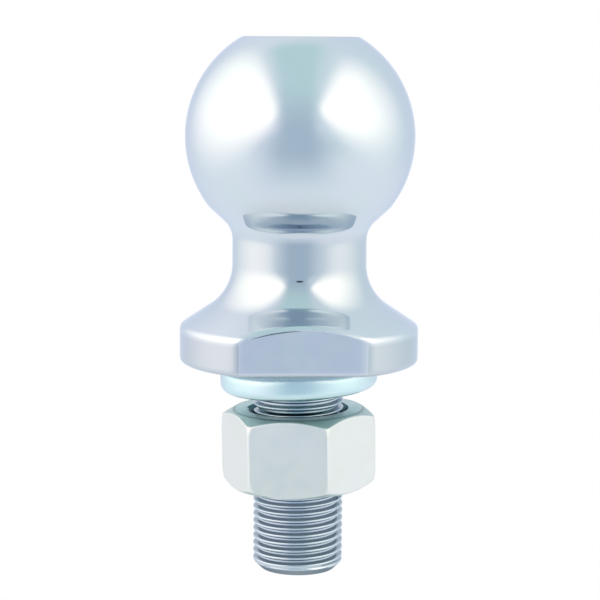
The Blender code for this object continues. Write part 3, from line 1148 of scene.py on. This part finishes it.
# %% [markdown]
# Bright plating shows little of itself: what the eye sees is the room in it. Lamps would give hard
# spots, so the light here is painted on surfaces round the part, as in a photographer's light tent. The
# painting is arithmetic on directions, and these helpers keep it short.

# %% Helpers for light
def maths(tree, operation, first, second=None, clamp=False):
    """A sum on sockets and plain numbers."""
    made = node(tree, "ShaderNodeMath", operation=operation, use_clamp=clamp)
    for socket, value in zip(made.inputs, (first, second)):
        if isinstance(value, (int, float)):
            socket.default_value = value
        elif value is not None:
            tree.links.new(value, socket)
    return made.outputs["Value"]


def soft(tree, value, low, high):
    """0 at low, 1 at high and a soft edge between; low may be the larger."""
    made = node(tree, "ShaderNodeMapRange", interpolation_type="SMOOTHSTEP")
    tree.links.new(value, made.inputs["Value"])
    made.inputs["From Min"].default_value = min(low, high)
    made.inputs["From Max"].default_value = max(low, high)
    made.inputs["To Min"].default_value = 0.0 if low < high else 1.0
    made.inputs["To Max"].default_value = 1.0 if low < high else 0.0
    return made.outputs["Result"]


def blend(tree, share, first, second):
    """A colour between first and second: each is a colour or a socket."""
    made = node(tree, "ShaderNodeMix", data_type="RGBA")
    tree.links.new(share, made.inputs[0])
    for socket, value in ((made.inputs[MIX_FIRST], first), (made.inputs[MIX_SECOND], second)):
        if isinstance(value, tuple):
            socket.default_value = (*value, 1.0)
        else:
            tree.links.new(value, socket)
    return made.outputs[MIX_RESULT]


print("Finishes on the tow ball:", [finish.name for finish in tow_ball.data.materials])

# %% [markdown]
# The photograph is cut out on white, with no table in it, but the underside of the ball mirrors white
# paper. The table is that paper. It lies below the shank's end, because the nut comes down past the end
# when it is screwed off. It fades out softly, so that no edge of it shows in the plating, and most of
# its white is its own glow, so that it stays white under any light.

# %% Table
TABLE_HEIGHT = -18.5 * MM
TABLE_HALF_WIDTH = 0.2
TABLE_FADE = (0.10, 0.04)
TABLE_GLOW = 0.93
TABLE_GREY = (0.9, 0.9, 0.9, 1.0)
WHITE = (1.0, 1.0, 1.0, 1.0)


def table_paper():
    material, tree = new_tree("white_table")
    tree.nodes.clear()
    diffuse = node(tree, "ShaderNodeBsdfDiffuse")
    diffuse.inputs["Color"].default_value = TABLE_GREY
    glow = node(tree, "ShaderNodeEmission")
    glow.inputs["Color"].default_value = WHITE
    paper = node(tree, "ShaderNodeMixShader")
    paper.inputs["Fac"].default_value = TABLE_GLOW
    tree.links.new(diffuse.outputs["BSDF"], paper.inputs[1])
    tree.links.new(glow.outputs["Emission"], paper.inputs[2])
    clear = node(tree, "ShaderNodeBsdfTransparent")
    faded = node(tree, "ShaderNodeMixShader")
    reach = vector_math(tree, "LENGTH", piece_place(tree))
    tree.links.new(soft(tree, reach, *TABLE_FADE), faded.inputs["Fac"])
    tree.links.new(clear.outputs["BSDF"], faded.inputs[1])
    tree.links.new(paper.outputs["Shader"], faded.inputs[2])
    output = node(tree, "ShaderNodeOutputMaterial")
    tree.links.new(faded.outputs["Shader"], output.inputs["Surface"])
    lay_out(tree)
    return material


def make_table():
    side = TABLE_HALF_WIDTH
    corners = [(-side, -side, 0.0), (side, -side, 0.0), (side, side, 0.0), (-side, side, 0.0)]
    mesh = bpy.data.meshes.new("table")
    mesh.from_pydata(corners, [], [(0, 1, 2, 3)])
    mesh.materials.append(table_paper())
    table = bpy.data.objects.new("table", mesh)
    table.location.z = TABLE_HEIGHT
    scene.collection.objects.link(table)
    print("Table below the shank's end, mm:", in_mm([-TABLE_HEIGHT]))


make_table()

# %% [markdown]
# The tent has a large soft window on each side, which gives the two bright patches on the ball. Real
# windows would be two area lamps, but their edges would be straight and hard. Here a direction is
# followed to a flat wall at the side, and soft limits on its place there make a window of any outline.
# The foot is bowed, so that it follows the round of the ball in the reflection.

# %% Windows of the tent
# Each limit is a soft edge from nothing to full light
LEFT_WINDOW = {"inner": (0.25, 0.50), "back": (1.79, -0.41), "top": (2.5, 0.9), "foot": (-0.55, 0.32)}
RIGHT_WINDOW = {"inner": (0.13, 0.40), "back": (0.95, -0.65), "top": (2.5, 1.0), "foot": (-0.48, 0.34)}
WINDOW_BOW = 0.22
# Keeps places on the wall finite for directions that run along it
LEAST_ACROSS = 0.05


def window(tree, side, direction, inner, back, top, foot):
    """Share of the window on one side, from places across a wall that the direction meets."""
    x, y, z = direction
    across = maths(tree, "MULTIPLY", x, side)
    along = maths(tree, "DIVIDE", y, maths(tree, "MAXIMUM", across, LEAST_ACROSS))
    up = maths(tree, "DIVIDE", z, maths(tree, "MAXIMUM", across, LEAST_ACROSS))
    bow = maths(tree, "MULTIPLY", maths(tree, "MULTIPLY", along, along), WINDOW_BOW)
    bowed = maths(tree, "SUBTRACT", up, bow)
    sides = maths(tree, "MULTIPLY", soft(tree, across, *inner), soft(tree, along, *back))
    ends = maths(tree, "MULTIPLY", soft(tree, up, *top), soft(tree, bowed, *foot))
    return maths(tree, "MULTIPLY", sides, ends)


print("Inner edges of the windows:", LEFT_WINDOW["inner"], RIGHT_WINDOW["inner"])

# %% [markdown]
# Between the windows a darker strip of the room runs overhead and widens below the camera. It draws the
# dark band down the middle of the ball, and without it the metal would look like white plastic. The
# rest is pale paper that shifts a little, from lavender on the left to a cool grey on the right.

# %% Paper and gap of the tent
WINDOW_LIGHT = (1.78, 1.60, 1.42)
PAPER_LEFT = (0.98, 0.97, 1.0)
PAPER_RIGHT = (0.87, 0.92, 0.94)
PAPER_BELOW = (1.0, 1.0, 1.02)
PAPER_BEHIND = (0.86, 0.89, 0.95)
GAP_HIGH = (0.67, 0.83, 0.82)
GAP_FRONT = (0.54, 0.63, 0.72)
# Soft edges along x, y or z of the direction, each from nothing to full
RIGHT_FROM = (-0.4, 0.4)
BELOW_FROM = (-0.05, -0.4)
BEHIND_FROM = (0.75, 0.98)
HIGH_FROM = (0.2, 0.9)
GAP_FRONT_FROM = (0.42, 0.14)
GAP_FOOT_FROM = (-0.98, -0.12)
GAP_WIDENS_FROM = (0.25, -0.1)
# Half widths of the gap along x: overhead, what it gains in front, and where it is fully dark
GAP_CENTRE = -0.045
GAP_HALF_WIDTH = 0.42
GAP_WIDENING = 0.40
GAP_CORE = 0.17


def gap_share(tree, direction):
    """Share of the dark strip between the windows."""
    x, y, z = direction
    off_centre = maths(tree, "ABSOLUTE", maths(tree, "SUBTRACT", x, GAP_CENTRE))
    widening = maths(tree, "MULTIPLY", soft(tree, z, *GAP_WIDENS_FROM), GAP_WIDENING)
    reach = maths(tree, "ADD", widening, GAP_HALF_WIDTH)
    inside = maths(tree, "SUBTRACT", reach, off_centre)
    share = maths(tree, "DIVIDE", inside, maths(tree, "SUBTRACT", reach, GAP_CORE))
    share = maths(tree, "MULTIPLY", soft(tree, share, 0.0, 1.0), soft(tree, y, *GAP_FRONT_FROM))
    return maths(tree, "MULTIPLY", share, soft(tree, z, *GAP_FOOT_FROM))


def tent_colour(tree, direction):
    x, y, z = direction
    paper = blend(tree, soft(tree, x, *RIGHT_FROM), PAPER_LEFT, PAPER_RIGHT)
    paper = blend(tree, soft(tree, z, *BELOW_FROM), paper, PAPER_BELOW)
    paper = blend(tree, soft(tree, y, *BEHIND_FROM), paper, PAPER_BEHIND)
    gap_colour = blend(tree, soft(tree, z, *HIGH_FROM), GAP_FRONT, GAP_HIGH)
    colour = blend(tree, gap_share(tree, direction), paper, gap_colour)
    left = window(tree, -1.0, direction, **LEFT_WINDOW)
    right = window(tree, 1.0, direction, **RIGHT_WINDOW)
    return blend(tree, maths(tree, "MAXIMUM", left, right), colour, WINDOW_LIGHT)


print("Colours of the gap, overhead and in front:", GAP_HIGH, GAP_FRONT)

# %% [markdown]
# The tent itself is a dome that only reflections see: the camera looks through it and it throws no
# shadow. The world's background could hold the same painting, but a dome has a middle, level with the
# ball, and moves no light onto the background that the camera sees.

# %% Light tent
TENT_RADIUS = 1.4
TENT_CENTRE = (0.0, 0.0, 60 * MM)
TENT_SEGMENTS = 96
TENT_RINGS = 48
TENT_LIGHT = 1.18


def make_tent():
    bpy.ops.mesh.primitive_uv_sphere_add(
        segments=TENT_SEGMENTS, ring_count=TENT_RINGS, radius=TENT_RADIUS, location=TENT_CENTRE
    )
    tent = bpy.context.object
    tent.name = "light_tent"
    material, tree = new_tree("light_tent")
    tree.nodes.clear()
    parts = node(tree, "ShaderNodeSeparateXYZ")
    tree.links.new(vector_math(tree, "NORMALIZE", piece_place(tree)), parts.inputs["Vector"])
    glow = node(tree, "ShaderNodeEmission")
    glow.inputs["Strength"].default_value = TENT_LIGHT
    tree.links.new(tent_colour(tree, tuple(parts.outputs)), glow.inputs["Color"])
    output = node(tree, "ShaderNodeOutputMaterial")
    tree.links.new(glow.outputs["Emission"], output.inputs["Surface"])
    lay_out(tree)
    tent.data.materials.append(material)
    material.cycles.emission_sampling = "NONE"
    tent.visible_camera = False
    tent.visible_shadow = False
    print("Tent nodes:", len(tree.nodes))


make_tent()

# %% [markdown]
# The world behind everything is pure white where the camera, or a ray that mirrors or passes through a
# piece, looks at it. For all other rays it is a plain pale blue. Raising the light until the background
# turned white would bleach the part, and the Light Path node keeps the two apart.

# %% World
WORLD_TINT = (0.9, 0.93, 1.0, 1.0)
WORLD_LIGHT = 0.9


def make_world():
    world = bpy.data.worlds.new("white_studio")
    world.use_nodes = True
    scene.world = world
    tree = world.node_tree
    tree.nodes.clear()
    seen = node(tree, "ShaderNodeBackground")
    seen.inputs["Color"].default_value = WHITE
    seen.inputs["Strength"].default_value = 1.0
    plain = node(tree, "ShaderNodeBackground")
    plain.inputs["Color"].default_value = WORLD_TINT
    plain.inputs["Strength"].default_value = WORLD_LIGHT
    path = node(tree, "ShaderNodeLightPath")
    seen_rays = maths(tree, "ADD", path.outputs["Is Camera Ray"], path.outputs["Is Glossy Ray"])
    seen_rays = maths(tree, "ADD", seen_rays, path.outputs["Is Transmission Ray"], clamp=True)
    mixed = node(tree, "ShaderNodeMixShader")
    tree.links.new(seen_rays, mixed.inputs["Fac"])
    tree.links.new(plain.outputs["Background"], mixed.inputs[1])
    tree.links.new(seen.outputs["Background"], mixed.inputs[2])
    output = node(tree, "ShaderNodeOutputWorld")
    tree.links.new(mixed.outputs["Shader"], output.inputs["Surface"])
    lay_out(tree)
    print("World light off camera:", WORLD_LIGHT)


make_world()
